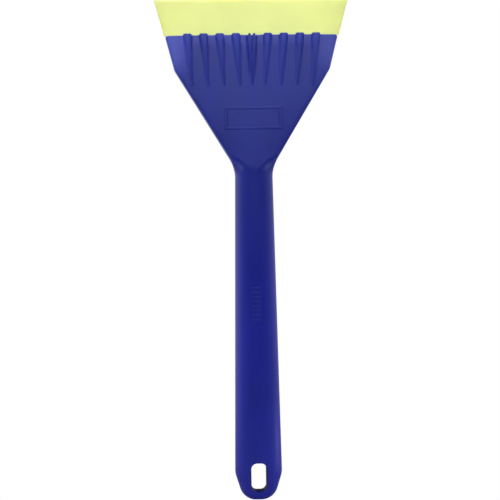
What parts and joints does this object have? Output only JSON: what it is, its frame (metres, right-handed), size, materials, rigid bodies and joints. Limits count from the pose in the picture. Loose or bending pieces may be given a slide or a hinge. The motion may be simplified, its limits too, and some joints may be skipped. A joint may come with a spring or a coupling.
{
  "type": "windshield ice scraper",
  "caption": "Hand ice scraper: flaring lime blade clamped in a ridged blue head on a long hollow oval handle with a hang slot.",
  "frame": {"origin": "middle of the handle's tip, on the plane where the two shells meet", "axes": "+Z from the handle's tip to the cutting edge; -Y out of the ridged front face; +X to the right seen from the front"},
  "size_m": [0.1276, 0.0186, 0.33],
  "materials": {
    "blue_moulding_front": "fine satin moulded surface, royal blue",
    "blue_moulding_back": "fine satin moulded surface, royal blue",
    "lime_blade": "smooth stiff lime-yellow sheet, slightly translucent"
  },
  "bodies": {
    "root": {"front_shell": "blue_moulding_front", "back_shell": "blue_moulding_back", "blade": "lime_blade"}
  },
  "joints": []
}
